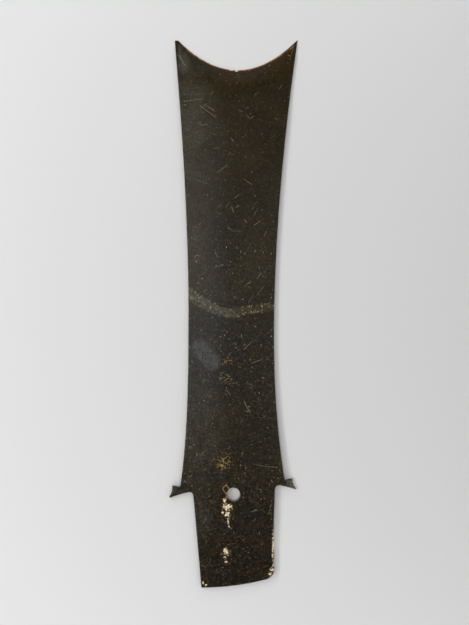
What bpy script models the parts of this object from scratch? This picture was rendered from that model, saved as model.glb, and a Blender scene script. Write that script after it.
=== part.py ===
"""Ceremonial blade of dark jade, cut from one slab of stone.

It has a hollow cutting edge, waisted sides, two small flared lugs and a drilled tang with a slanting heel.
It lies on its flat back: X runs across it, +Y towards the cutting edge and +Z out of the crowned front.
The hole's axis is at X = 0, and the middle of the length is at Y = 0. Lengths are in metres.
"""
import math

import bmesh
import bpy

MM = 0.001

# Overall sizes
LENGTH = 350.0 * MM
HEEL = -LENGTH / 2
TIPS = LENGTH / 2

# Cutting edge: a parabola between two tips that end square
EDGE_CENTRE = 2.5 * MM
EDGE_DEPTH = 19.0 * MM
EDGE_RADIUS = 38.0 * MM
EDGE_THICKNESS = 0.5 * MM
EDGE_STEPS = 36
EDGE_BEVEL = 12.0 * MM
EDGE_BEVEL_FULLNESS = 0.8
EDGE_BEVEL_ROWS = 4
CURVE_ROUNDS = 12

# Chips in the cutting edge: place, width, depth and width of the floor
EDGE_CHIPS = (
    (-1.4 * MM, 2.8 * MM, 0.4 * MM, 2.0 * MM),
    (1.9 * MM, 2.8 * MM, 1.2 * MM, 0.4 * MM),
)
CHIP_CLEARANCE = 0.6 * MM

# Long sides, left and right: half width at the tip, at the waist and at the shoulder, the heights of the
# waist and the shoulder over the heel, and how late the flare begins towards the tip and the shoulder
LEFT_SIDE = {
    "sign": -1, "tip": 37.7 * MM, "waist": 28.8 * MM, "shoulder": 34.0 * MM,
    "waist_height": 183.0 * MM, "shoulder_height": 64.8 * MM, "upper_flare": 1.65, "lower_flare": 3.3,
}
RIGHT_SIDE = {
    "sign": 1, "tip": 41.1 * MM, "waist": 25.9 * MM, "shoulder": 32.5 * MM,
    "waist_height": 163.0 * MM, "shoulder_height": 70.0 * MM, "upper_flare": 1.8, "lower_flare": 2.2,
}
SIDE_STEPS_UP = 16
SIDE_STEPS_DOWN = 12

# Lugs, left and right, measured from the end of the long side: the nick where the lug starts, its upper
# corner, the hollow of its outer side, its lower tip, and where its underside meets the tang's rounded corner
LEFT_LUG = {
    "nick_out": 0.9 * MM, "nick_depth": 0.4 * MM, "upper_out": 5.2 * MM, "upper_rise": 0.2 * MM,
    "lower_out": 7.1 * MM, "lower_drop": 7.0 * MM, "hollow": 0.7 * MM,
    "root_drop": 3.7 * MM, "corner_width": 2.8 * MM, "corner_height": 4.1 * MM,
}
RIGHT_LUG = {
    "nick_out": 0.6 * MM, "nick_depth": 1.4 * MM, "upper_out": 5.5 * MM, "upper_rise": -0.2 * MM,
    "lower_out": 7.7 * MM, "lower_drop": 7.0 * MM, "hollow": 0.9 * MM,
    "root_drop": 4.6 * MM, "corner_width": 3.1 * MM, "corner_height": 3.7 * MM,
}
LUG_TIP_BLUNT = 0.6 * MM
CURVE_STEPS = 5
LUG_THICKNESS = 3.6 * MM
LUG_RUN = 5.0 * MM
RIGHT_LUG_BREAK = 1.1 * MM
RIGHT_LUG_LOSS = 1.0 * MM
BREAK_RUN = 1.0 * MM

# Tang: half widths at its top and at the heel, the hollow in its right side and the slanting heel
TANG_LEFT_TOP = 25.5 * MM
TANG_LEFT_HEEL = 20.5 * MM
TANG_RIGHT_TOP = 26.4 * MM
TANG_RIGHT_HEEL = 26.0 * MM
TANG_RIGHT_HOLLOW = 0.6 * MM
TANG_STEPS = 8
HEEL_RISE = 6.6 * MM
HEEL_CORNER = 5.4 * MM
HEEL_STEPS = 10

# Thickness
BLADE_THICKNESS = 6.0 * MM
SIDE_THICKNESS = 3.4 * MM
TANG_THICKNESS = 4.8 * MM
THICKENING_RUN = 95.0 * MM
FRONT_ARRIS = 0.5 * MM
BACK_ARRIS = 0.3 * MM
BACK_ARRIS_SHARE_OF_EDGE = 0.3

# Hole, drilled from the front and slightly tapered
HOLE_HEIGHT = 59.5 * MM
HOLE_FRONT_RADIUS = 4.3 * MM
HOLE_BACK_RADIUS = 4.0 * MM
HOLE_LEAD_IN = 0.4 * MM
HOLE_SIDES = 32
CUTTER_OVERSHOOT = 2.0 * MM

# Spacing of the lines that divide the front so that it can be crowned
DIVISION_ACROSS = 6.5 * MM
DIVISION_ALONG = 9.0 * MM

CLOSE = 0.01 * MM
FACING = 0.5
SHARP_ANGLE = math.radians(25)

STONE_COLOUR = (0.032, 0.027, 0.018, 1.0)
STONE_ROUGHNESS = 0.34


def clamp01(value):
    return min(max(value, 0.0), 1.0)


def smooth_step(value):
    """Goes from 0 to 1 with no slope at either end."""
    t = clamp01(value)
    return t * t * (3.0 - 2.0 * t)


def curve_points(start, control, end, steps):
    """Points of a quadratic curve after its start, up to and with its end."""
    points = []
    for i in range(1, steps + 1):
        t = i / steps
        weights = ((1 - t) ** 2, 2 * t * (1 - t), t * t)
        points.append(tuple(
            weights[0] * start[k] + weights[1] * control[k] + weights[2] * end[k] for k in (0, 1)
        ))
    return points


def half_width(side, y):
    """Distance from the hole's axis line to one long side of the blade at a height."""
    waist_y = HEEL + side["waist_height"]
    if y >= waist_y:
        rise = (y - waist_y) / (TIPS - waist_y)
        return side["waist"] + (side["tip"] - side["waist"]) * rise ** side["upper_flare"]
    drop = clamp01((waist_y - y) / (side["waist_height"] - side["shoulder_height"]))
    return side["waist"] + (side["shoulder"] - side["waist"]) * drop ** side["lower_flare"]


def chip_depth(x):
    """How far the cutting edge is chipped back at a place across the blade."""
    deepest = 0.0
    for centre, width, depth, floor in EDGE_CHIPS:
        slope_run = (width - floor) / 2
        inside = width / 2 - abs(x - centre)
        deepest = max(deepest, depth * clamp01(inside / slope_run))
    return deepest


def edge_height(x):
    """Height of the cutting edge's curve at a place across the blade, without its chips."""
    curve = TIPS - EDGE_DEPTH + (x - EDGE_CENTRE) ** 2 / (2 * EDGE_RADIUS)
    return min(curve, TIPS)


def across(share, y):
    """Place across the blade at a height, for a share from 0 at the left side to 1 at the right."""
    left, right = half_width(LEFT_SIDE, y), half_width(RIGHT_SIDE, y)
    return -left + (left + right) * share


def edge_shares():
    """Where the columns of the bevel stand across the edge, from 0 at the left tip to 1 at the right."""
    left, right = -LEFT_SIDE["tip"], RIGHT_SIDE["tip"]
    corner_reach = math.sqrt(2 * EDGE_RADIUS * EDGE_DEPTH)
    fixed = [EDGE_CENTRE - corner_reach, EDGE_CENTRE + corner_reach]
    for centre, width, _, floor in EDGE_CHIPS:
        fixed += [centre - width / 2, centre - floor / 2, centre + floor / 2, centre + width / 2]
    fixed = [x for x in fixed if left < x < right]
    places = [left, right, *fixed]
    for i in range(1, EDGE_STEPS):
        x = left + (right - left) * i / EDGE_STEPS
        if min(abs(x - other) for other in fixed) > CHIP_CLEARANCE:
            places.append(x)
    shares = []
    for x in sorted(places):
        left_here = across(0.0, edge_height(x))
        shares.append(clamp01((x - left_here) / (across(1.0, edge_height(x)) - left_here)))
    return shares


def bevel_point(share, depth):
    """A point of the bevel: share across the blade, and depth from 0 at the edge to 1 at its foot."""
    x = across(share, TIPS)
    for _ in range(CURVE_ROUNDS):
        x = across(share, edge_height(x) - depth * EDGE_BEVEL)
    return x, edge_height(x) - depth * EDGE_BEVEL - (1 - depth) * chip_depth(x)


def front_height(x, y):
    """Height of the front over the back: flat on the tang, crowned on the blade, ground to the edge."""
    side = LEFT_SIDE if x < 0 else RIGHT_SIDE
    crown = 1.0 - clamp01(abs(x) / half_width(side, y)) ** 2
    blade = SIDE_THICKNESS + (BLADE_THICKNESS - SIDE_THICKNESS) * crown
    crown_start = HEEL + max(LEFT_SIDE["shoulder_height"], RIGHT_SIDE["shoulder_height"])
    share = smooth_step((y - crown_start) / THICKENING_RUN)
    height = TANG_THICKNESS + (blade - TANG_THICKNESS) * share
    outside = smooth_step((abs(x) - side["shoulder"]) / LUG_RUN)
    height -= (TANG_THICKNESS - LUG_THICKNESS) * outside
    broken = smooth_step((x - RIGHT_SIDE["shoulder"] - RIGHT_LUG_BREAK) / BREAK_RUN)
    height -= RIGHT_LUG_LOSS * broken * (1.0 - share)
    ground = clamp01((edge_height(x) - y) / EDGE_BEVEL)
    return EDGE_THICKNESS + (height - EDGE_THICKNESS) * ground ** EDGE_BEVEL_FULLNESS


def side_points(side):
    """The long side of the blade, from the foot of the bevel down to the shoulder."""
    top_y = bevel_point(0.0 if side["sign"] < 0 else 1.0, 1.0)[1]
    waist_y = HEEL + side["waist_height"]
    shoulder_y = HEEL + side["shoulder_height"]
    heights = [top_y + (waist_y - top_y) * i / SIDE_STEPS_UP for i in range(1, SIDE_STEPS_UP)]
    for i in range(SIDE_STEPS_DOWN + 1):
        # Steps close up towards the shoulder, where the flare is quickest
        heights.append(waist_y + (shoulder_y - waist_y) * math.sin(math.pi / 2 * i / SIDE_STEPS_DOWN))
    return [(side["sign"] * half_width(side, y), y) for y in heights]


def tang_top(side, lug):
    """Where the rounded corner under a lug ends and the straight side of the tang begins."""
    width = TANG_LEFT_TOP if side["sign"] < 0 else TANG_RIGHT_TOP
    drop = lug["root_drop"] + lug["corner_height"]
    return side["sign"] * width, HEEL + side["shoulder_height"] - drop


def lug_points(side, lug):
    """One lug, from the nick below the shoulder round to the tang's side."""
    sign, shoulder, shoulder_y = side["sign"], side["shoulder"], HEEL + side["shoulder_height"]
    nick = (sign * (shoulder + lug["nick_out"]), shoulder_y - lug["nick_depth"])
    upper = (sign * (shoulder + lug["upper_out"]), shoulder_y + lug["upper_rise"])
    lower = (sign * (shoulder + lug["lower_out"]), shoulder_y - lug["lower_drop"])
    blunt = (lower[0] - sign * LUG_TIP_BLUNT, lower[1] - LUG_TIP_BLUNT)
    tang = tang_top(side, lug)
    root = (tang[0] + sign * lug["corner_width"], tang[1] + lug["corner_height"])
    hollow_control = ((upper[0] + lower[0]) / 2 - sign * 2 * lug["hollow"], (upper[1] + lower[1]) / 2)
    underside_control = ((blunt[0] + root[0]) / 2, root[1] + (blunt[1] - root[1]) / 3)
    points = [nick, upper]
    points += curve_points(upper, hollow_control, lower, CURVE_STEPS)
    points.append(blunt)
    points += curve_points(blunt, underside_control, root, CURVE_STEPS)
    points += curve_points(root, (tang[0], root[1]), tang, CURVE_STEPS)
    return points


def heel_height(x):
    """Height of the slanting heel at a place across the tang."""
    share = (x + TANG_LEFT_HEEL) / (TANG_LEFT_HEEL + TANG_RIGHT_HEEL)
    return HEEL + HEEL_RISE * clamp01(share) ** 2


def tang_points():
    """The tang, from under the left lug round the heel to under the right lug."""
    left_top_y = tang_top(LEFT_SIDE, LEFT_LUG)[1]
    right_top_y = tang_top(RIGHT_SIDE, RIGHT_LUG)[1]
    points = []
    for i in range(1, TANG_STEPS + 1):
        share = i / TANG_STEPS
        x = -TANG_LEFT_TOP + (TANG_LEFT_TOP - TANG_LEFT_HEEL) * share
        points.append((x, left_top_y + (HEEL - left_top_y) * share))
    corner_x = TANG_RIGHT_HEEL - HEEL_CORNER
    for i in range(1, HEEL_STEPS + 1):
        x = -TANG_LEFT_HEEL + (corner_x + TANG_LEFT_HEEL) * i / HEEL_STEPS
        points.append((x, heel_height(x)))
    corner = (TANG_RIGHT_HEEL, heel_height(TANG_RIGHT_HEEL))
    corner_top = (TANG_RIGHT_HEEL, corner[1] + HEEL_CORNER)
    points += curve_points(points[-1], corner, corner_top, CURVE_STEPS)
    for i in range(1, TANG_STEPS):
        share = i / TANG_STEPS
        hollow = TANG_RIGHT_HOLLOW * math.sin(math.pi * share) ** 2
        x = TANG_RIGHT_HEEL + (TANG_RIGHT_TOP - TANG_RIGHT_HEEL) * share - hollow
        points.append((x, corner_top[1] + (right_top_y - corner_top[1]) * share))
    return points


def flat_shape(bm):
    """The blade's whole outline as one flat sheet: the body, and the rows of the bevel above it."""
    shares = edge_shares()
    grid = bmesh.ops.create_grid(bm, x_segments=len(shares) - 1, y_segments=EDGE_BEVEL_ROWS, size=1.0)
    columns = sorted(grid["verts"], key=lambda vert: (round(vert.co.x, 5), -vert.co.y))
    rows = EDGE_BEVEL_ROWS + 1
    for number, vert in enumerate(columns):
        column, row = divmod(number, rows)
        x, y = bevel_point(shares[column], row / EDGE_BEVEL_ROWS)
        vert.co = (x, y, 0.0)
    foot = [columns[column * rows + EDGE_BEVEL_ROWS] for column in range(len(shares))]
    below = side_points(LEFT_SIDE) + lug_points(LEFT_SIDE, LEFT_LUG) + tang_points()
    below += reversed(side_points(RIGHT_SIDE) + lug_points(RIGHT_SIDE, RIGHT_LUG))
    ring = list(reversed(foot)) + [bm.verts.new((x, y, 0.0)) for x, y in below]
    bm.faces.new(ring)
    bmesh.ops.recalc_face_normals(bm, faces=bm.faces)


def divide(bm, faces, spacing, axis, start, end):
    """Cuts faces along evenly spaced lines across one axis."""
    count = max(1, round((end - start) / spacing))
    for i in range(1, count):
        place = [0.0, 0.0, 0.0]
        normal = [0.0, 0.0, 0.0]
        place[axis] = start + (end - start) * i / count
        normal[axis] = 1.0
        edges = {edge for face in faces for edge in face.edges}
        verts = {vert for face in faces for vert in face.verts}
        cut = bmesh.ops.bisect_plane(
            bm, geom=[*verts, *edges, *faces], plane_co=place, plane_no=normal, dist=CLOSE
        )
        faces = list({item for item in cut["geom"] if isinstance(item, bmesh.types.BMFace)})
    return faces


def inset_ring(bm, faces, width):
    """Sets a narrow ring of faces inside the rim of a region."""
    bmesh.ops.inset_region(bm, faces=faces, thickness=width, use_even_offset=True, use_boundary=True)


def body_mesh():
    bm = bmesh.new()
    flat_shape(bm)
    raised = bmesh.ops.extrude_face_region(bm, geom=list(bm.faces))["geom"]
    raised_verts = [item for item in raised if isinstance(item, bmesh.types.BMVert)]
    bmesh.ops.translate(bm, verts=raised_verts, vec=(0.0, 0.0, SIDE_THICKNESS))
    bmesh.ops.recalc_face_normals(bm, faces=bm.faces)
    back = [face for face in bm.faces if face.normal.z < -FACING]
    front = [face for face in bm.faces if face.normal.z > FACING]

    # The back stays one flat face inside its narrow arris
    back = bmesh.ops.dissolve_faces(bm, faces=back)["region"]
    inset_ring(bm, back, BACK_ARRIS)
    inset_ring(bm, front, FRONT_ARRIS)
    body = [face for face in front if face.calc_center_median().y < TIPS - EDGE_DEPTH - EDGE_BEVEL / 2]
    body = divide(bm, body, DIVISION_ALONG, 1, HEEL, TIPS)
    divide(bm, body, DIVISION_ACROSS, 0, -LEFT_SIDE["tip"], RIGHT_SIDE["tip"])

    rim = {vert for vert in bm.verts if any(abs(face.normal.z) < FACING for face in vert.link_faces)}
    for vert in bm.verts:
        height = front_height(vert.co.x, vert.co.y)
        if vert.co.z > SIDE_THICKNESS / 2:
            vert.co.z = max(height - FRONT_ARRIS, EDGE_THICKNESS) if vert in rim else height
        elif vert in rim:
            vert.co.z = min(BACK_ARRIS, BACK_ARRIS_SHARE_OF_EDGE * height)

    bmesh.ops.triangulate(bm, faces=bm.faces, quad_method="BEAUTY", ngon_method="BEAUTY")
    bmesh.ops.recalc_face_normals(bm, faces=bm.faces)
    mesh = bpy.data.meshes.new("jade_blade")
    bm.to_mesh(mesh)
    bm.free()
    mesh.shade_smooth()
    mesh.set_sharp_from_angle(angle=SHARP_ANGLE)
    return mesh


def hole_cutter():
    """A turned cutter: the tapered hole, with a slight lead-in at the front."""
    lead_in_height = TANG_THICKNESS - HOLE_LEAD_IN
    profile = (
        (0.0, -CUTTER_OVERSHOOT),
        (HOLE_BACK_RADIUS, -CUTTER_OVERSHOOT),
        (HOLE_BACK_RADIUS, 0.0),
        (HOLE_FRONT_RADIUS, lead_in_height),
        (HOLE_FRONT_RADIUS + HOLE_LEAD_IN, TANG_THICKNESS),
        (HOLE_FRONT_RADIUS + HOLE_LEAD_IN, TANG_THICKNESS + CUTTER_OVERSHOOT),
        (0.0, TANG_THICKNESS + CUTTER_OVERSHOOT),
    )
    bm = bmesh.new()
    verts = [bm.verts.new((radius, 0.0, height)) for radius, height in profile]
    edges = [bm.edges.new(pair) for pair in zip(verts, verts[1:])]
    bmesh.ops.spin(
        bm, geom=[*verts, *edges], cent=(0, 0, 0), axis=(0, 0, 1), angle=2 * math.pi,
        steps=HOLE_SIDES, use_merge=True,
    )
    bmesh.ops.remove_doubles(bm, verts=bm.verts, dist=CLOSE)
    bmesh.ops.recalc_face_normals(bm, faces=bm.faces)
    mesh = bpy.data.meshes.new("hole_cutter")
    bm.to_mesh(mesh)
    bm.free()
    cutter = bpy.data.objects.new("hole_cutter", mesh)
    cutter.location = (0.0, HEEL + HOLE_HEIGHT, 0.0)
    cutter.hide_render = True
    cutter.display_type = "WIRE"
    bpy.context.scene.collection.objects.link(cutter)
    return cutter


def jade_material():
    """Polished dark jade."""
    material = bpy.data.materials.new("polished_dark_jade")
    material.use_nodes = True
    shader = material.node_tree.nodes["Principled BSDF"]
    shader.inputs["Base Color"].default_value = STONE_COLOUR
    shader.inputs["Roughness"].default_value = STONE_ROUGHNESS
    shader.inputs["Metallic"].default_value = 0.0
    return material


def main():
    for thing in list(bpy.data.objects):
        bpy.data.objects.remove(thing, do_unlink=True)
    blade = bpy.data.objects.new("jade_blade", body_mesh())
    blade.data.materials.append(jade_material())
    bpy.context.scene.collection.objects.link(blade)
    drill = blade.modifiers.new("drilled_hole", "BOOLEAN")
    drill.operation = "DIFFERENCE"
    drill.solver = "EXACT"
    drill.object = hole_cutter()


main()
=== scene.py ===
"""A ceremonial blade of dark jade, lying on its flat back on a pale floor and seen from straight above.

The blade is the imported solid, divided finely, with its arrises rounded by wear, its chips and its filled
fissures, in a jade whose vein, clouds, grains and scratches sit where they do on the real stone.
Lengths are in metres unless a name says millimetres. X runs across, +Y towards the cutting edge, +Z up.
"""
import math
import random

import bmesh
import bpy
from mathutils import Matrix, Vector, noise
from mathutils.bvhtree import BVHTree
from mathutils.kdtree import KDTree


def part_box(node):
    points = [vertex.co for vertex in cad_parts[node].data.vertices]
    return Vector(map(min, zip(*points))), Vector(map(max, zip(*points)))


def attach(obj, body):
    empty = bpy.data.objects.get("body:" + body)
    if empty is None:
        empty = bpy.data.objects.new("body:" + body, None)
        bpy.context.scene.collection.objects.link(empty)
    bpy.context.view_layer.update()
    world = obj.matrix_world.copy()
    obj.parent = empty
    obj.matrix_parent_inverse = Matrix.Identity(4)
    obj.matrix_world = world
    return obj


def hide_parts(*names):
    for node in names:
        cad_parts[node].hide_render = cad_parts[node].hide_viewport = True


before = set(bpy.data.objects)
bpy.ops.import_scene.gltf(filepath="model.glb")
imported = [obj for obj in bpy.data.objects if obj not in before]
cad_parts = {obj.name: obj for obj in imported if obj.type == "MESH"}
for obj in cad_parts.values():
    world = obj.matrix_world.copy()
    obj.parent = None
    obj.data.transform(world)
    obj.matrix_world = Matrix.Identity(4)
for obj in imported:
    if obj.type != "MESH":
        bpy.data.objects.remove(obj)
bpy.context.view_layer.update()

MM = 0.001
NODE = "jade_blade"
LOW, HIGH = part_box(NODE)

# Fine mesh of the blade
WELD = 0.002 * MM
SECTION_HEIGHT = 0.32 * MM
STRAIGHT = math.radians(0.04)
RIM_STEP = 0.9 * MM
ARRIS_RINGS = (0.03, 0.13, 0.28, 0.44)
ARRIS = ARRIS_RINGS[-1]
BACK_ARRIS_RINGS = (0.08, 0.22)
BACK_ARRIS = BACK_ARRIS_RINGS[-1]
THIN_ARRIS_SHARE = 0.5
THIN_BACK_SHARE = 0.25
CELL = 1.2 * MM
BACK_CELL = 2.4 * MM
GRID_SLACK = 0.004      # how far off a grid line an end may lie, as a share of a cell
GRID_WELD = 0.05 * MM   # crossings closer than this are one
SMOOTH_ROUNDS = 60
WALL_CUTS = 2
FACING = 0.5            # a wall's normal leans less than this
WALL_WIDTH = 0.5 * MM
SHARP_ANGLE = math.radians(32)
FRONT_MARK, BACK_MARK = 1, 2

# The hole, which narrows from the front to the back
HOLE_CENTRE = (0.0, -115.5)
HOLE_BACK_RADIUS = 4.0
HOLE_FRONT_RADIUS = 4.35
HOLE_REACH = 5.4

# Vein of paler grains across the waist: place across, middle height and half height, in millimetres
VEIN = (
    (-28.6, 13.2, 4.2), (-22.5, 8.4, 4.4), (-16.4, 5.4, 4.2), (-10.3, 2.0, 3.2), (-4.2, 0.4, 3.5),
    (2.0, 0.1, 3.2), (8.1, 2.2, 2.9), (14.2, 3.2, 2.7), (20.3, 3.7, 3.1), (25.2, 3.7, 2.4),
)

# Soft clouds in the stone, and ovals of painted glow, highlight, sheen and shade: middle, half width and half
# height, in millimetres
PALE_CLOUD = ((-21.3, -21.5, 5.1, 5.2), (-14.0, -30.6, 5.4, 5.4), (-18.0, -26.3, 5.6, 4.8))
BLUE_CLOUD = ((-17.0, -26.0, 19.0, 26.0), (-10.2, -102.6, 5.6, 4.8))
# Painted glow: warm brown where light would come through the thin stone near the cutting edge
GLOW_CLOUD = ((1.6, 154.0, 13.0, 8.0), (22.0, 166.0, 12.0, 12.0))
OCHRE_CLOUD = (
    (-3.5, -29.5, 3.0, 2.0), (-3.4, -41.5, 2.4, 2.6), (-6.6, -40.5, 2.0, 3.0), (-7.3, -94.0, 4.8, 5.2),
)
# Painted highlight: a pale wedge at the left tip, where the bevel catches the light
TIP_HIGHLIGHT = ((-34.5, 167.0, 1.3, 6.0), (-31.8, 160.5, 3.2, 6.5))
# Lighter grey down the left side of the front: partly pale haze in the stone, partly a painted sheen of the
# light from the left
HAZE_AND_SHEEN = (
    (-24.0, 120.0, 12.0, 38.0), (-24.0, 60.0, 6.0, 24.0), (-22.0, -86.0, 8.0, 20.0), (-28.0, 152.0, 6.0, 9.0),
    (-15.0, -74.0, 7.0, 20.0), (-20.0, -130.0, 6.0, 12.0),
)
# Painted shade: the right half of the front and the tang darkened as if turned from the light on the left,
# and the left lug's reflection damped; the first three ovals are darker bands in the stone
SHADE_AND_DARK_BANDS = (
    (-6.0, 46.0, 10.0, 24.0), (-3.0, -16.0, 13.0, 12.0), (-1.0, -36.0, 11.0, 16.0), (13.0, -30.0, 15.0, 35.0),
    (12.0, -85.0, 15.0, 28.0), (5.0, -125.0, 15.0, 24.0), (2.0, -158.0, 20.0, 16.0),
    (-35.0, -112.0, 5.0, 6.0), (-22.0, -8.0, 9.0, 7.0),
)

# Amber line round a diamond beside the hole, and the streak below it, in millimetres
DIAMOND = (-4.8, -112.1, 2.2, 2.9)
STREAK = (-4.6, -115.2, -4.2, -118.4)
DIAMOND_LINE = 0.36

# Cream crust that fills the fissures of the tang: middle, half width and half height, in millimetres
CRUST = (
    (-5.8, -119.3, 1.0, 2.3), (-4.0, -123.7, 3.2, 2.7), (-7.1, -127.2, 0.9, 1.0), (-4.2, -128.3, 2.1, 1.9),
    (-3.5, -132.3, 1.0, 2.2), (-2.9, -135.7, 0.7, 1.0), (-4.8, -151.9, 2.4, 2.4), (-5.5, -155.4, 0.8, 1.3),
    (-4.8, -158.6, 1.2, 0.9), (25.3, -149.5, 0.8, 11.5), (25.4, -160.6, 0.7, 1.8),
    (24.5, -163.4, 1.5, 1.6), (23.4, -166.3, 1.3, 1.7), (-19.5, -172.0, 0.7, 1.2), (-17.4, -173.3, 1.0, 0.7),
)
CRUST_DEPTH = 0.35
CRUST_LUMP = 0.30

# Arris spalled off the right side and the right corner of the tang, in the same terms
SPALL = ((26.4, -151.0, 1.9, 13.5), (25.2, -166.0, 3.0, 4.6))
SPALL_DEPTH = 0.9

# Broken top of the right lug: it starts at this place across, between these heights
LUG_BREAK = 33.4
LUG_TOP = -101.0
LUG_BOTTOM = -116.0
LUG_ROUGH = 0.22

# The deepest scratches: start across and along, end across and along, and how pale, in millimetres
SCRATCHES = (
    (-31.7, 135.4, -26.0, 136.4, 0.8), (-26.0, 136.4, -20.1, 136.8, 0.7), (-21.4, 132.7, -11.2, 125.1, 0.6),
    (-16.9, 132.4, -12.3, 129.4, 0.7), (-11.3, 126.7, -11.2, 126.6, 1.6), (-14.6, 139.7, -13.0, 141.9, 0.8),
    (3.5, 129.5, 6.0, 128.8, 0.7), (7.4, 127.6, 10.6, 124.4, 0.7), (29.2, 143.4, 31.0, 146.2, 0.5),
    (-22.5, 122.0, -20.7, 120.2, 0.7), (-20.7, 120.2, -16.4, 120.8, 0.6), (-1.7, 112.2, 0.1, 110.0, 0.6),
    (-12.4, 105.5, -9.1, 105.5, 0.6), (-10.9, 89.7, -4.2, 94.6, 0.8), (6.8, 85.7, 11.7, 82.4, 0.5),
    (-24.0, 85.4, -17.6, 83.2, 0.5), (0.7, 73.7, 3.5, 75.9, 1.0), (-10.0, 67.6, -8.2, 69.4, 0.8),
    (-10.9, 64.9, -8.4, 63.0, 0.7), (-1.2, 68.2, 0.0, 64.6, 0.9), (-5.1, 67.6, -3.3, 70.1, 0.7),
    (15.4, 67.0, 13.2, 62.7, 0.5), (12.9, 56.0, 17.2, 59.4, 0.9), (7.2, 59.7, 8.4, 58.1, 1.1),
    (19.7, 49.3, 21.0, 52.6, 0.8), (-3.6, 54.5, 0.1, 52.6, 0.7), (0.1, 52.6, 5.0, 52.6, 0.6),
    (-9.7, 30.0, -7.5, 31.2, 1.1), (-11.8, 39.2, -10.3, 36.1, 0.9), (-21.9, 56.6, -21.0, 58.1, 0.9),
    (15.1, 22.4, 17.5, 25.7, 1.2), (8.7, 19.0, 11.1, 20.2, 1.2), (6.5, 16.2, 8.4, 18.1, 0.8),
    (15.1, 12.0, 19.4, 17.5, 0.8), (-19.2, 13.8, -17.0, 15.3, 1.3), (9.6, 6.8, 12.0, 11.1, 0.7),
    (6.8, -22.9, 11.4, -18.0, 0.9), (11.4, -18.0, 15.1, -16.4, 0.7), (5.0, -13.1, 5.1, -15.2, 0.9),
    (11.7, -31.7, 17.8, -29.3, 0.9), (9.9, -44.6, 11.7, -45.5, 0.9), (-4.2, -48.9, -2.0, -52.2, 0.7),
    (6.8, -56.2, 9.6, -61.7, 0.9), (8.2, -62.6, 10.4, -62.1, 1.2), (5.2, -90.3, 6.0, -88.3, 1.0),
    (14.2, -96.4, 20.7, -97.6, 0.6), (20.7, -97.6, 28.0, -98.1, 0.7), (11.3, -126.6, 15.4, -125.4, 0.9),
    (21.9, -127.8, 24.0, -127.0, 0.9), (36.3, 163.9, 39.0, 172.0, 0.5), (34.7, 165.7, 36.1, 165.0, 1.2),
    # The first line on the next row is a painted highlight: the bright glint along the bevel at the left tip,
    # cut as a shallow groove
    (-34.8, 165.4, -31.0, 158.5, 1.0), (37.1, 169.8, 39.0, 172.4, 1.3),
)
SCRATCH_HALF = 0.28
SCRATCH_DEPTH = 0.035

# Small natural pits, in millimetres
PIT_COUNT = 36
PIT_SEED = 11
PIT_DEPTH = (0.04, 0.09)
PIT_HALF = (0.2, 0.36)
PIT_INSET = 2.0 * MM
PIT_SPAN = 0.01

# The mesh is halved this near to a scratch or a pit, round by round, in millimetres
MARK_REACHES = (1.3, 0.75, 0.45)

# Amber is painted as a glow of light coming through stone thinner than this, in millimetres
THIN = 1.6

# How far the front stays under the top of the box, in millimetres
HEADROOM = 0.004

MARKS = (
    "vein", "pale", "blue", "glow", "ochre", "crust", "broken", "thin", "edge", "scratch", "tang",
    "diamond", "tip_highlight", "haze_and_sheen", "shade_and_dark_bands",
)


def srgb(code):
    """A colour written as an sRGB hex value, as linear red, green, blue and full alpha."""
    values = [int(code[i:i + 2], 16) / 255 for i in (1, 3, 5)]
    linear = [v / 12.92 if v <= 0.04045 else ((v + 0.055) / 1.055) ** 2.4 for v in values]
    return (*linear, 1.0)


def clamp01(value):
    return min(max(value, 0.0), 1.0)


def smooth_step(value):
    t = clamp01(value)
    return t * t * (3.0 - 2.0 * t)


def blot(x, y, blots, soft):
    """How far inside the nearest of some ovals a place is: 1 well inside, 0 outside."""
    best = 0.0
    for middle_x, middle_y, half_width, half_height in blots:
        away = math.hypot((x - middle_x) / half_width, (y - middle_y) / half_height)
        best = max(best, clamp01((1.0 + soft - away) / (2.0 * soft)))
    return best


def vein_share(x, y):
    """Closeness to the middle of the vein: 1 on it, 0.5 at its borders."""
    for (x0, y0, h0), (x1, y1, h1) in zip(VEIN, VEIN[1:]):
        if x <= x1 or (x1, y1, h1) == VEIN[-1]:
            share = clamp01((x - x0) / (x1 - x0))
            middle = y0 + (y1 - y0) * share
            half = h0 + (h1 - h0) * share
            return clamp01(1.0 - 0.5 * abs(y - middle) / half)
    return 0.0


def waves(x, y, size, seed=0.0):
    """Smooth noise from -1 to 1 with features of a size in millimetres."""
    return noise.noise(Vector((x / size, y / size, seed)))


def to_line(x, y, line):
    """Distance from a place to a short straight line, in millimetres."""
    x0, y0, x1, y1 = line[:4]
    run_x, run_y = x1 - x0, y1 - y0
    share = clamp01(((x - x0) * run_x + (y - y0) * run_y) / (run_x ** 2 + run_y ** 2))
    return math.hypot(x - x0 - share * run_x, y - y0 - share * run_y)


def place_tree(places):
    """A search tree of places seen from above, in millimetres."""
    tree = KDTree(len(places))
    for index, place in enumerate(places):
        tree.insert((place.x / MM, place.y / MM, 0.0), index)
    tree.balance()
    return tree


def near_line(tree, line, reach):
    """Numbers of the places in a search tree that lie near a short straight line."""
    x0, y0, x1, y1 = line[:4]
    steps = max(int(math.hypot(x1 - x0, y1 - y0) / reach), 1)
    found = set()
    for step in range(steps + 1):
        share = step / steps
        point = (x0 + (x1 - x0) * share, y0 + (y1 - y0) * share, 0.0)
        found.update(index for _, index, _ in tree.find_range(point, 1.2 * reach))
    return found


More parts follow.
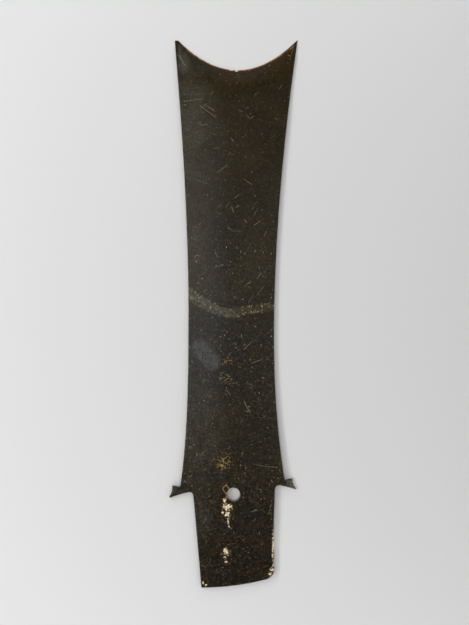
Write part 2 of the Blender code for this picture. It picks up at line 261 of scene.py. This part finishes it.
def outline_sheet():
    """The solid's silhouette with its hole, cut a little over the back and filled as a flat sheet."""
    bm = bmesh.new()
    bm.from_mesh(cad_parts[NODE].data)
    bmesh.ops.remove_doubles(bm, verts=bm.verts, dist=WELD)
    solid = BVHTree.FromBMesh(bm)
    cut = bmesh.ops.bisect_plane(
        bm, geom=[*bm.verts, *bm.edges, *bm.faces], plane_co=(0.0, 0.0, SECTION_HEIGHT),
        plane_no=(0.0, 0.0, 1.0), clear_outer=True, clear_inner=True,
    )
    kept = set(cut["geom_cut"])
    bmesh.ops.delete(bm, geom=[vert for vert in bm.verts if vert not in kept], context="VERTS")
    for vert in bm.verts:
        vert.co.z = 0.0
    bmesh.ops.remove_doubles(bm, verts=bm.verts, dist=10 * WELD)
    straight = [
        vert for vert in bm.verts
        if len(vert.link_edges) == 2 and (
            vert.link_edges[0].other_vert(vert).co - vert.co
        ).angle(vert.co - vert.link_edges[1].other_vert(vert).co, 1.0) < STRAIGHT
    ]
    bmesh.ops.dissolve_verts(bm, verts=straight)
    for edge in list(bm.edges):
        cuts = int(edge.calc_length() / RIM_STEP)
        if cuts:
            bmesh.ops.subdivide_edges(bm, edges=[edge], cuts=cuts)
    bmesh.ops.triangle_fill(bm, edges=bm.edges, normal=(0.0, 0.0, 1.0), use_beauty=True)
    bmesh.ops.recalc_face_normals(bm, faces=bm.faces)
    return bm, solid


def ring_in(bm, faces, distances, layer):
    """Sets rings of faces inside the rim of a region and marks each vertex's distance from the rim."""
    last = 0.0
    for distance in distances:
        bmesh.ops.inset_region(
            bm, faces=faces, thickness=(distance - last) * MM, use_even_offset=True, use_boundary=True
        )
        for vert in {vert for face in faces for vert in face.verts}:
            vert[layer] = distance
        last = distance


def divide(bm, faces, axis, low, high, step):
    """Cuts faces along evenly spaced lines across one axis, half by half so that each cut stays quick."""
    if high - low < 2:
        return
    middle = (low + high) // 2
    place = [0.0, 0.0, 0.0]
    normal = [0.0, 0.0, 0.0]
    place[axis] = middle * step
    normal[axis] = 1.0
    edges = {edge for face in faces for edge in face.edges}
    verts = {vert for face in faces for vert in face.verts}
    cut = bmesh.ops.bisect_plane(
        bm, geom=[*verts, *edges, *faces], plane_co=place, plane_no=normal, dist=WELD / 10
    )
    faces = {item for item in cut["geom"] if isinstance(item, bmesh.types.BMFace)}
    below = [face for face in faces if face.calc_center_median()[axis] < middle * step]
    above = [face for face in faces if face.calc_center_median()[axis] >= middle * step]
    divide(bm, below, axis, low, middle, step)
    divide(bm, above, axis, middle, high, step)


def marked(bm, mark):
    return [face for face in bm.faces if face.material_index == mark]


def on_grid_line(edge, step):
    """Whether both ends of an edge lie on one line of a grid."""
    for axis in (0, 1):
        start, end = (vert.co[axis] / step for vert in edge.verts)
        if abs(start - end) < GRID_SLACK and abs(start - round(start)) < GRID_SLACK:
            return True
    return False


def cell_grid(bm, mark, step):
    """Divides the marked faces into even cells, and takes out the edges that filled the outline."""
    for axis in (1, 0):
        low = math.floor(LOW[axis] / step)
        high = math.ceil(HIGH[axis] / step)
        divide(bm, marked(bm, mark), axis, low, high, step)
    stray = [
        edge for edge in bm.edges
        if len(edge.link_faces) == 2 and all(face.material_index == mark for face in edge.link_faces)
        and not on_grid_line(edge, step)
    ]
    bmesh.ops.dissolve_edges(bm, edges=stray)
    verts = {vert for face in marked(bm, mark) for vert in face.verts}
    bmesh.ops.remove_doubles(bm, verts=list(verts), dist=GRID_WELD)
    bmesh.ops.dissolve_verts(bm, verts=[vert for vert in bm.verts if len(vert.link_edges) == 2])


def refine(bm, choose):
    """Halves the cells of the front that a rule chooses."""
    faces = choose(marked(bm, FRONT_MARK))
    edges = {edge for face in faces for edge in face.edges}
    bmesh.ops.subdivide_edges(bm, edges=list(edges), cuts=1, use_grid_fill=True)


def in_fine_zone(face):
    """Whether a face lies on the crust, a spall, the broken lug or the diamond."""
    x, y, _ = face.calc_center_median() / MM
    on_lug = x > LUG_BREAK - 0.8 and LUG_BOTTOM < y < LUG_TOP
    return on_lug or blot(x, y, (*CRUST, *SPALL, DIAMOND), 0.35) > 0.0


def near_marks(lines, reach):
    """A rule that chooses the faces near some short lines."""
    def choose(faces):
        tree = place_tree([face.calc_center_median() for face in faces])
        found = set()
        for line in lines:
            found |= near_line(tree, line, reach)
        return [faces[index] for index in found]
    return choose


def make_pits(solid):
    """Pits on the front, denser towards the tang, as very short lines with a half width and a depth."""
    rng = random.Random(PIT_SEED)
    pits = []
    while len(pits) < PIT_COUNT:
        x = rng.uniform(LOW.x, HIGH.x)
        y = HIGH.y - (HIGH.y - LOW.y) * math.sqrt(rng.random())
        sides = ((x - PIT_INSET, y), (x + PIT_INSET, y), (x, y - PIT_INSET), (x, y + PIT_INSET))
        if all(solid.ray_cast(Vector((*side, 1.0)), Vector((0.0, 0.0, -1.0)))[0] for side in sides):
            half = rng.uniform(*PIT_HALF)
            pits.append((x / MM, y / MM, x / MM + PIT_SPAN, y / MM, half, rng.uniform(*PIT_DEPTH)))
    return pits


def height_over(solid, x, y):
    """The solid's height at a place, or None beside it."""
    hit = solid.ray_cast(Vector((x, y, 1.0)), Vector((0.0, 0.0, -1.0)))[0]
    return hit.z if hit else None


def front_verts(bm):
    """The vertices inside the front's rings, and those of them that lie on the innermost ring."""
    inner = {vert for face in marked(bm, FRONT_MARK) for vert in face.verts}
    border = {vert for vert in inner if any(face.material_index != FRONT_MARK for face in vert.link_faces)}
    return inner, border


def lay_front(bm, solid):
    """Lays the front's even grid on the solid and smooths its facets away."""
    inner, border = front_verts(bm)
    for vert in inner:
        vert.co.z = height_over(solid, vert.co.x, vert.co.y) or vert.co.z
    free = list(inner - border)
    for _ in range(SMOOTH_ROUNDS):
        bmesh.ops.smooth_vert(bm, verts=free, factor=0.5, use_axis_z=True)


def round_arrises(bm, rim, full):
    """Sets the rings beside the front and the back on quarter rounds, flatter where the stone is thin."""
    inner, border = front_verts(bm)
    border = list(border)
    tree = place_tree([vert.co for vert in border])
    for vert in bm.verts:
        if vert in inner:
            vert[full] = vert.co.z / MM
            continue
        _, index, _ = tree.find((vert.co.x / MM, vert.co.y / MM, 0.0))
        height = border[index].co.z / MM
        vert[full] = height
        if vert.co.z > HIGH.z / 2:
            share = 1.0 - clamp01(vert[rim] / ARRIS)
            drop = min(ARRIS, THIN_ARRIS_SHARE * height) * (1.0 - math.sqrt(1.0 - share ** 2))
            vert.co.z = (height - drop) * MM
        else:
            share = 1.0 - clamp01(vert[rim] / BACK_ARRIS)
            rise = min(BACK_ARRIS, THIN_BACK_SHARE * height) * (1.0 - math.sqrt(1.0 - share ** 2))
            vert.co.z = rise * MM


def ream_hole(bm, is_front):
    """Widens the hole at the front, so that its wall narrows towards the back as a drilled hole's does."""
    centre = Vector(HOLE_CENTRE) * MM
    near = [vert for vert in bm.verts if (vert.co.xy - centre).length < HOLE_REACH * MM]
    sheet_radius = min((vert.co.xy - centre).length for vert in near) / MM
    for vert in near:
        radius = HOLE_FRONT_RADIUS if is_front(vert) else HOLE_BACK_RADIUS
        away = (vert.co.xy - centre).length / MM
        stretch = (HOLE_REACH - radius) / (HOLE_REACH - sheet_radius)
        wanted = radius + (away - sheet_radius) * stretch
        vert.co.xy = centre + (vert.co.xy - centre) * wanted / away


def build_blade():
    """The finely divided blade: rings round its rims, an even grid on its front and a flat back."""
    bm, solid = outline_sheet()
    rim = bm.verts.layers.float.new("rim")
    full = bm.verts.layers.float.new("full")
    raised = bmesh.ops.extrude_face_region(bm, geom=list(bm.faces))["geom"]
    raised = [item for item in raised if isinstance(item, bmesh.types.BMVert)]
    bmesh.ops.translate(bm, verts=raised, vec=(0.0, 0.0, HIGH.z))
    bmesh.ops.recalc_face_normals(bm, faces=bm.faces)
    back = [face for face in bm.faces if all(vert.co.z < HIGH.z / 2 for vert in face.verts)]
    front = [face for face in bm.faces if all(vert.co.z > HIGH.z / 2 for vert in face.verts)]
    ring_in(bm, back, BACK_ARRIS_RINGS, rim)
    ring_in(bm, front, ARRIS_RINGS, rim)
    for face in front:
        face.material_index = FRONT_MARK
    for face in back:
        face.material_index = BACK_MARK
    cell_grid(bm, BACK_MARK, BACK_CELL)
    cell_grid(bm, FRONT_MARK, CELL)
    ream_hole(bm, lambda vert: vert.co.z > HIGH.z / 2)
    lay_front(bm, solid)
    pits = make_pits(solid)
    for _ in range(2):
        refine(bm, lambda faces: [face for face in faces if in_fine_zone(face)])
    for reach in MARK_REACHES:
        refine(bm, near_marks([*SCRATCHES, *pits], reach))
    round_arrises(bm, rim, full)
    return bm, pits


def relief(x, y):
    """How far wear, loss and crust lift or lower the front at a place, in millimetres."""
    lift = 0.03 * waves(x, y, 15.0) + 0.012 * waves(x, y, 4.5, 3.0)
    spall = smooth_step(blot(x, y, SPALL, 0.45))
    ragged = 0.75 + 0.5 * waves(x, y, 2.2, 5.0)
    lift -= SPALL_DEPTH * spall * ragged
    crust = smooth_step(blot(x, y, CRUST, 0.3) * 1.5 - 0.3 + 0.5 * waves(x, y, 0.9, 7.0))
    lumps = 0.5 + 0.8 * waves(x, y, 1.1, 9.0) + 0.5 * waves(x, y, 0.5, 10.0)
    lift += crust * (CRUST_LUMP * lumps - CRUST_DEPTH * (1.0 - spall))
    if x > LUG_BREAK and LUG_BOTTOM < y < LUG_TOP:
        share = smooth_step((x - LUG_BREAK) / 1.2)
        lift += share * LUG_ROUGH * (waves(x, y, 2.4, 12.0) + 0.6 * waves(x, y, 0.9, 13.0) - 0.3)
    return lift


def set_relief(bm, rim, scratch, pits):
    """Lifts and lowers the front's vertices, the rim's included, and cuts the pits and scratches."""
    front = [vert for vert in bm.verts if vert.co.z > SECTION_HEIGHT]
    for vert in front:
        x, y, z = vert.co / MM
        lift = relief(x, y)
        chip = smooth_step((waves(x, y, 1.5, 20.0) - 0.28) / 0.25) * (1.0 - clamp01(vert[rim] / ARRIS))
        lifted = min(z + lift - 0.25 * chip * min(z, 1.5), HIGH.z / MM - HEADROOM)
        vert.co.z = max(lifted, 0.5 * z) * MM
    tree = place_tree([vert.co for vert in front])
    for line in SCRATCHES:
        for index in near_line(tree, line, 2.0 * SCRATCH_HALF):
            vert = front[index]
            x, y, z = vert.co / MM
            away = to_line(x + 0.15 * waves(x, y, 1.3, 30.0), y + 0.15 * waves(x, y, 1.3, 31.0), line)
            share = clamp01(1.0 - away / SCRATCH_HALF)
            vert[scratch] = max(vert[scratch], share * line[4])
            vert.co.z -= SCRATCH_DEPTH * share * MM
    for pit in pits:
        for index in near_line(tree, pit, 1.0):
            vert = front[index]
            away = to_line(vert.co.x / MM, vert.co.y / MM, pit) / pit[4]
            vert.co.z -= pit[5] * (1.0 - smooth_step(away)) * MM


def set_marks(bm, rim, full, layers):
    """Stores how much of each mark of the stone every vertex has, for the material to read."""
    for vert in bm.verts:
        x, y, z = vert.co / MM
        vert[layers["vein"]] = vein_share(x, y)
        vert[layers["pale"]] = smooth_step(blot(x, y, PALE_CLOUD, 0.3))
        vert[layers["blue"]] = smooth_step(blot(x, y, BLUE_CLOUD, 0.7))
        # Painted glow near the cutting edge
        vert[layers["glow"]] = smooth_step(blot(x, y, GLOW_CLOUD, 0.9))
        vert[layers["ochre"]] = smooth_step(blot(x, y, OCHRE_CLOUD, 0.5))
        vert[layers["crust"]] = blot(x, y, CRUST, 0.6)
        vert[layers["broken"]] = smooth_step((x - LUG_BREAK) / 0.8) * (LUG_BOTTOM < y < LUG_TOP)
        vert[layers["edge"]] = 1.0 - clamp01(vert[rim] / ARRIS)
        vert[layers["tang"]] = smooth_step((-90.0 - y) / 45.0)
        vert[layers["thin"]] = clamp01(1.0 - vert[full] / THIN)
        across, along, half_width, half_height = DIAMOND
        beside = x + 0.4 * waves(x, y, 2.0, 40.0) - across
        off = abs(abs(beside) / half_width + abs(y - along) / half_height - 1.0) * half_width
        off = min(off, to_line(beside + across, y, STREAK))
        vert[layers["diamond"]] = clamp01(1.5 - off / DIAMOND_LINE)
        # Painted highlight at the left tip
        vert[layers["tip_highlight"]] = smooth_step(blot(x, y, TIP_HIGHLIGHT, 0.5))
        # Pale haze with a painted sheen down the left side
        vert[layers["haze_and_sheen"]] = smooth_step(blot(x, y, HAZE_AND_SHEEN, 0.8))
        # Painted shade, with darker bands of the stone
        vert[layers["shade_and_dark_bands"]] = smooth_step(blot(x, y, SHADE_AND_DARK_BANDS, 0.8))


def add(tree, kind, inputs=None, out=None, **settings):
    """Adds a shader node: its own settings, then its inputs, each a plain value or another node's output."""
    made = tree.nodes.new("ShaderNode" + kind)
    for name, value in settings.items():
        setattr(made, name, value)
    for key, value in (inputs or {}).items():
        if isinstance(key, str):
            socket = next(item for item in made.inputs if item.enabled and item.name == key)
        else:
            socket = made.inputs[key]
        if isinstance(value, bpy.types.NodeSocket):
            tree.links.new(value, socket)
        else:
            socket.default_value = value
    return made.outputs[out] if out else next(item for item in made.outputs if item.enabled)


def polished_jade():
    """Ground and hand-polished jade: near-black brown-green, with a soft wax-like gloss.

    The eye sees a dark body with faint clouds, ochre and green grains, a vein of paler grains, fine pale
    scratches, a painted amber glow where thin stone would let light through, and a dull cream crust in
    fissures.
    """
    material = bpy.data.materials.new("polished_jade")
    material.use_nodes = True
    tree = material.node_tree
    tree.nodes.clear()

    def node(kind, inputs=None, out=None, **settings):
        return add(tree, kind, inputs, out, **settings)

    def share(*parts):
        """How strongly a layer shows: its parts multiplied.

        A part is a number, an output or the name of a mark stored on the mesh. With two values after it,
        it rises smoothly from the first to the second.
        """
        whole = None
        for part in parts:
            value, *ends = part if isinstance(part, tuple) else (part,)
            if isinstance(value, str):
                value = node("Attribute", out="Fac", attribute_name=value)
            if ends:
                value = node("MapRange", {"Value": value, "From Min": ends[0], "From Max": ends[1]},
                             interpolation_type="SMOOTHSTEP")
            whole = value if whole is None else node("Math", {0: whole, 1: value}, operation="MULTIPLY")
        return whole

    def over(below, above, *parts):
        """Lays one colour over another, as strongly as the parts of its share say."""
        below, above = (srgb(tone) if isinstance(tone, str) else tone for tone in (below, above))
        return node("Mix", {"Factor": share(*parts), "A": below, "B": above}, data_type="RGBA")

    place = node("VectorMath", {0: node("TexCoord", out="Object"), "Scale": 1.0 / MM}, operation="SCALE")
    across = node("SeparateXYZ", {"Vector": place}, out="X")
    height = node("SeparateXYZ", {"Vector": place}, out="Y")

    def cloudy(size, detail=3.0, seed=0.0, rough=0.5):
        """Soft clouds of a size in millimetres."""
        moved = node("VectorMath", {0: place, 1: (seed, seed * 0.7, seed * 1.3)}, operation="ADD")
        return node("TexNoise", {"Vector": moved, "Scale": 1.0 / size, "Detail": detail, "Roughness": rough})

    def grains(size, reach, keep, seed):
        """Grains of a size in millimetres, of which only a share shows."""
        moved = node("VectorMath", {0: place, 1: (seed, seed * 0.7, seed * 1.3)}, operation="ADD")
        cell = node("TexVoronoi", {"Vector": moved, "Scale": 1.0 / size}).node
        lots = node("SeparateColor", {"Color": cell.outputs["Color"]}, out="Red")
        low = node("Math", {0: 1.0, 1: keep}, operation="SUBTRACT")
        high = node("Math", {0: 1.04, 1: keep}, operation="SUBTRACT")
        return share((lots, low, high), (cell.outputs["Distance"], reach, 0.4 * reach))

    def scores(size, reach, half, seed, keep):
        """Fine straight scores, one to a cell of a size in millimetres, most of them rising to the right."""
        flat = node("VectorMath", {0: place, 1: (1.0, 1.0, 0.0)}, operation="MULTIPLY")
        moved = node("VectorMath", {0: flat, 1: (seed, seed * 1.7, 0.0)}, operation="ADD")
        cell = node("TexVoronoi", {"Vector": moved, "Scale": 1.0 / size}, voronoi_dimensions="2D").node
        drawn = node("SeparateColor", {"Color": cell.outputs["Color"]}).node
        away = node("VectorMath", {0: moved, 1: cell.outputs["Position"]}, operation="SUBTRACT")
        centred = node("Math", {0: drawn.outputs["Red"], 1: 0.5}, operation="SUBTRACT")
        cubed = share(centred, centred, centred)
        angle = node("Math", {0: cubed, 1: -11.0, 2: -0.9}, operation="MULTIPLY_ADD")
        turned = node("VectorRotate", {"Vector": away, "Angle": angle}, rotation_type="Z_AXIS")
        along = node("SeparateXYZ", {"Vector": turned}).node
        bend = share(along.outputs["X"], along.outputs["X"], centred, 0.12)
        aside = node("Math", {0: along.outputs["Y"], 1: bend}, operation="ADD")
        aside = node("Math", {0: aside}, operation="ABSOLUTE")
        length = node("Math", {0: drawn.outputs["Green"], 1: reach, 2: 0.25 * reach},
                      operation="MULTIPLY_ADD")
        past = node("Math", {0: along.outputs["X"]}, operation="ABSOLUTE")
        past = node("Math", {0: past, 1: length}, operation="SUBTRACT")
        return share((aside, half, 0.3 * half), (past, 0.0, -0.4), (drawn.outputs["Blue"], 1.0 - keep, 1.0))

    low_share = share((height, 30.0, -60.0))
    mid_share = share((height, 95.0, 60.0), (height, -140.0, -20.0))

    # Body of the stone, with broad tones and clouds, and with painted glow, sheen and shade laid over it
    body = over("#241e0c", "#2e2811", (cloudy(38.0, 2.0, 3.0), 0.35, 0.68))
    body = over(body, "#291d14", (cloudy(16.0, 4.0, 11.0), 0.42, 0.7), 0.45)
    body = over(body, "#1a1309", "tang", 0.75)
    # Painted glow of light through the thin stone near the cutting edge
    body = over(body, "#46260d", "glow", 0.4)
    body = over(body, "#17191c", "blue", (cloudy(9.0, 3.0, 21.0), 0.2, 0.5), 0.9)
    # Lighter grey down the left side: partly pale haze, partly a painted sheen of the light from the left
    body = over(body, "#4c4a3e", "haze_and_sheen", (cloudy(10.0, 4.0, 23.0), 0.3, 0.65), 0.42)
    # Painted shade from those ovals, with the front also darker towards the tang
    shade_and_dark_bands = node("Math", {0: share("shade_and_dark_bands", 0.52), 1: share(low_share, 0.14)}, operation="ADD")
    body = over(body, "#090703", shade_and_dark_bands)
    fine = cloudy(1.3, 2.0, 31.0, 0.6)
    gritty = node("MapRange", {
        "Value": height, "From Min": 80.0, "From Max": 30.0, "To Min": 0.3, "To Max": 0.55,
    }, interpolation_type="SMOOTHSTEP")
    darker = over(body, "#060503", gritty)
    lighter = over(body, "#6b6244", gritty, 0.17)
    body = over(darker, lighter, (fine, 0.36, 0.68))

    # Grains of rust, ochre, green and pale stone, thicker towards the tang
    keep = node("Math", {0: low_share, 1: 0.16, 2: 0.05}, operation="MULTIPLY_ADD")
    body = over(body, "#5b3414", grains(1.2, 0.5, keep, 41.0), 0.48)
    keep = node("Math", {0: low_share, 1: 0.08, 2: 0.05}, operation="MULTIPLY_ADD")
    body = over(body, "#56604a", grains(1.4, 0.5, keep, 47.0), 0.42)
    veinlet = node("TexVoronoi", {"Vector": place, "Scale": 1.0 / 2.6}, feature="DISTANCE_TO_EDGE")
    ochre_tone = over("#946c30", "#c4a468", (fine, 0.45, 0.55))
    body = over(body, ochre_tone, (veinlet, 0.09, 0.02), (cloudy(2.0, 2.0, 51.0), 0.45, 0.6), "ochre", 0.85)
    keep = node("Math", {0: low_share, 1: 0.03, 2: 0.01}, operation="MULTIPLY_ADD")
    keep = node("Math", {0: share("ochre"), 1: 0.35, 2: keep}, operation="MULTIPLY_ADD")
    body = over(body, "#9a7436", grains(1.1, 0.5, keep, 53.0), 0.75)
    keep = node("Math", {0: mid_share, 1: 0.03, 2: 0.02}, operation="MULTIPLY_ADD")
    pale_tone = over("#98a286", "#cbbf9b", (cloudy(3.0, 1.0, 57.0), 0.45, 0.55))
    body = over(body, pale_tone, grains(1.3, 0.38, keep, 59.0), 0.62)

    # Vein of grey-green stone with ochre and cream grains
    ragged = node("Math", {0: cloudy(2.2, 4.0, 61.0, 0.65), 1: 0.9, 2: -0.45}, operation="MULTIPLY_ADD")
    ragged = node("Math", {0: share("vein"), 1: ragged}, operation="ADD")
    left_share = share((across, 12.0, -8.0))
    greener = node("Math", {0: left_share, 1: 0.16, 2: cloudy(5.0, 3.0, 68.0)}, operation="MULTIPLY_ADD")
    vein_body = over("#333020", over("#434029", "#41443a", left_share), (greener, 0.42, 0.6))
    vein_body = over(vein_body, "#9c763a", grains(1.15, 0.5, 0.44, 71.0))
    vein_body = over(vein_body, "#cfbd86", grains(1.3, 0.42, 0.17, 73.0))
    vein_body = over(vein_body, "#14110b", grains(1.6, 0.5, 0.36, 79.0))
    body = over(body, vein_body, (ragged, 0.46, 0.64), 0.85)

    # Pale cloud of softened grey, with fine dark pits, and the painted highlight at the left tip
    cloud_body = over("#323233", "#4a4a48", (cloudy(1.4, 3.0, 85.0), 0.35, 0.65))
    cloud_body = over(cloud_body, "#0c0c0e", grains(1.7, 0.5, 0.45, 89.0))
    body = over(body, cloud_body, "pale", (cloudy(5.0, 4.0, 83.0, 0.55), 0.2, 0.5), 0.9)
    # Painted highlight: pale grey wedge at the left tip, where the bevel would catch the light
    body = over(body, "#55544c", "tip_highlight", 0.5)

    # Scratches, drawn about twice as wide as the real ones so that they show
    light = share("scratch", 0.55)
    for strength, kind in (
        (0.22, (19.0, 4.0, 0.18, 5.0, 0.4)), (0.55, (8.0, 1.1, 0.22, 15.0, 0.45)),
        (0.75, (4.6, 0.5, 0.22, 25.0, 0.45)),
    ):
        light = node("Math", {0: light, 1: share(scores(*kind), strength)}, operation="MAXIMUM")
    body = over(body, over("#7f8a78", "#b3a784", (cloudy(9.0, 1.0, 97.0), 0.4, 0.6)), light)

    # Painted glow: amber where light would come through the thin stone, and a faint line of it along every
    # arris
    thin = share(("thin", 0.3, 0.44), (height, 171.0, 166.0))
    edge_line = share(("edge", 0.0, 0.3), ("thin", 0.1, 0.3))
    amber = node("Math", {0: thin, 1: edge_line}, operation="MAXIMUM")
    body = over(body, over("#6a3808", "#b08030", (cloudy(4.0, 3.0, 101.0), 0.35, 0.65)), amber)
    body = over(body, "#a67c3c", ("diamond", 0.4, 0.9), 0.95)
    # Painted glow of light through the thin stone along the arrises
    body = over(body, "#6b4a18", "edge", (cloudy(14.0, 2.0, 103.0), 0.4, 0.62), 0.5)

    # Grey weathered break of the right lug, with rust at its rim
    broken = node("Math", {0: cloudy(1.5, 3.0, 107.0), 1: 0.3, 2: share("broken")}, operation="MULTIPLY_ADD")
    broken = share((broken, 0.5, 0.85))
    break_body = over("#2e2c28", "#66645e", (cloudy(1.1, 4.0, 109.0), 0.35, 0.65))
    break_body = over(break_body, over("#4a3016", "#cdbf9f", (across, 36.2, 37.2)), "edge", 0.85)
    body = over(body, break_body, broken)

    # Cream crust, broken up by the rough stone that shows through it
    patchy = node("Math", {0: cloudy(1.2, 4.0, 113.0, 0.7), 1: 3.4, 2: -1.7}, operation="MULTIPLY_ADD")
    patchy = node("Math", {0: share("crust"), 1: patchy}, operation="ADD")
    crust = share((patchy, 0.76, 0.88))
    body = over(body, over("#c09a62", "#fff0cc", (cloudy(1.2, 4.0, 127.0, 0.6), 0.3, 0.52)), crust)
    bare = node("Math", {0: 1.0, 1: crust}, operation="SUBTRACT")
    body = over(body, "#6d4a20", (patchy, 0.35, 0.6), bare, 0.6)

    # Gloss and fine relief, dull and rough on the crust and the break
    dull = node("Math", {0: crust, 1: broken}, operation="MAXIMUM")
    gloss = node("MapRange", {"Value": cloudy(7.0, 4.0, 131.0), "To Min": 0.22, "To Max": 0.32})
    gloss = node("Math", {0: light, 1: 0.2, 2: gloss}, operation="MULTIPLY_ADD")
    gloss = node("Mix", {"Factor": dull, "A": gloss, "B": 0.85}, data_type="FLOAT")
    ripple = share(cloudy(2.5, 3.0, 137.0), 0.008)
    swell = node("Math", {0: light, 1: -0.02, 2: ripple}, operation="MULTIPLY_ADD")
    rough = share(dull, cloudy(0.7, 5.0, 139.0, 0.7))
    swell = node("Math", {0: rough, 1: 0.25, 2: swell}, operation="MULTIPLY_ADD")
    bump = node("Bump", {"Height": swell, "Distance": MM})
    shader = node("BsdfPrincipled", {
        "Base Color": body, "Roughness": gloss, "IOR": 1.66, "Normal": bump,
    })
    tree.links.new(shader, tree.nodes.new("ShaderNodeOutputMaterial").inputs["Surface"])
    return material


def flat_colour(name, code, roughness):
    material = bpy.data.materials.new(name)
    material.use_nodes = True
    shader = material.node_tree.nodes["Principled BSDF"]
    shader.inputs["Base Color"].default_value = srgb(code)
    shader.inputs["Roughness"].default_value = roughness
    return material


def make_blade():
    bm, pits = build_blade()
    layers = {name: bm.verts.layers.float.new(name) for name in MARKS}
    rim = bm.verts.layers.float["rim"]
    set_relief(bm, rim, layers["scratch"], pits)
    set_marks(bm, rim, bm.verts.layers.float["full"], layers)
    upright = [
        edge for edge in bm.edges
        if all(face.material_index == 0 and abs(face.normal.z) < FACING for face in edge.link_faces)
        and (edge.verts[0].co.xy - edge.verts[1].co.xy).length < WALL_WIDTH
    ]
    bmesh.ops.subdivide_edges(bm, edges=upright, cuts=WALL_CUTS, use_grid_fill=True)
    for face in bm.faces:
        face.material_index = 0
    bmesh.ops.recalc_face_normals(bm, faces=bm.faces)
    mesh = bpy.data.meshes.new("jade_blade_carved")
    bm.to_mesh(mesh)
    bm.free()
    mesh.shade_smooth()
    mesh.set_sharp_from_angle(angle=SHARP_ANGLE)
    blade = bpy.data.objects.new("jade_blade_carved", mesh)
    bpy.context.collection.objects.link(blade)
    mesh.materials.append(polished_jade())
    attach(blade, "root")
    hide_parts(NODE)


# Studio: a wide pale floor, soft lights and a dark ceiling over the camera
FLOOR_SIZE = 12.0
LENS = 100.0
SENSOR = 36.0
FRAME_HEIGHT = 0.3996
VIEW_CENTRE = (0.00064, 0.00070)


def make_floor():
    bm = bmesh.new()
    bmesh.ops.create_grid(bm, x_segments=1, y_segments=1, size=FLOOR_SIZE / 2)
    mesh = bpy.data.meshes.new("floor")
    bm.to_mesh(mesh)
    bm.free()
    floor = bpy.data.objects.new("floor", mesh)
    bpy.context.collection.objects.link(floor)
    mesh.materials.append(flat_colour("matt_paper", "#e6e6e6", 0.9))


def soft_light(name, place, target, size, radiance, mirrored=True):
    """A rectangular soft light of a given brightness, turned to face a place.

    One that isn't mirrored stands for a polarised light, whose reflection the photographer filters out.
    """
    light = bpy.data.lights.new(name, "AREA")
    light.shape = "RECTANGLE"
    light.size, light.size_y = size
    light.energy = radiance * math.pi * size[0] * size[1]
    lamp = bpy.data.objects.new(name, light)
    lamp.location = place
    lamp.rotation_euler = (Vector(place) - Vector(target)).to_track_quat("Z", "Y").to_euler()
    lamp.visible_glossy = mirrored
    bpy.context.collection.objects.link(lamp)


def make_world():
    """Pale all round at the horizon and dark overhead, so that the polished front stays dark."""
    world = bpy.data.worlds.new("studio")
    world.use_nodes = True
    bpy.context.scene.world = world
    tree = world.node_tree
    tree.nodes.clear()
    up = add(tree, "SeparateXYZ", {"Vector": add(tree, "TexCoord", out="Generated")}, out="Z")
    pale = add(tree, "MapRange", {
        "Value": up, "From Min": 0.88, "From Max": 0.55, "To Min": 0.02, "To Max": 0.2,
    }, interpolation_type="SMOOTHSTEP")
    surround = add(tree, "Background", {"Color": (1.0, 1.0, 1.0, 1.0), "Strength": pale})
    tree.links.new(surround, tree.nodes.new("ShaderNodeOutputWorld").inputs["Surface"])


def make_camera():
    camera = bpy.data.cameras.new("camera")
    camera.lens = LENS
    camera.sensor_width = SENSOR
    camera.clip_end = 50.0
    viewer = bpy.data.objects.new("camera", camera)
    viewer.location = (*VIEW_CENTRE, FRAME_HEIGHT * LENS / SENSOR + HIGH.z / 2)
    bpy.context.collection.objects.link(viewer)
    bpy.context.scene.camera = viewer


make_blade()
make_floor()
soft_light("overhead_softbox", (0.0, 0.0, 1.7), (0.0, 0.0, 0.0), (1.6, 1.6), 1.58, False)
soft_light("far_softbox", (0.12, 0.42, 0.3), (0.12, 0.42, 0.0), (0.9, 0.15), 1.5, False)
soft_light("near_softbox", (0.12, -0.42, 0.3), (0.12, -0.42, 0.0), (0.9, 0.15), 1.5, False)
soft_light("side_softbox", (-0.45, 0.0, 0.5), (-0.45, 0.0, 0.0), (0.25, 1.3), 2.6, False)
soft_light("left_softbox", (-0.72, 0.0, 1.22), (0.0, 0.0, 0.0), (0.5, 1.4), 0.62)
soft_light("right_softbox", (0.62, 0.0, 1.22), (0.0, 0.0, 0.0), (0.3, 1.4), 0.3)
make_world()
make_camera()
bpy.context.scene.view_settings.view_transform = "Standard"
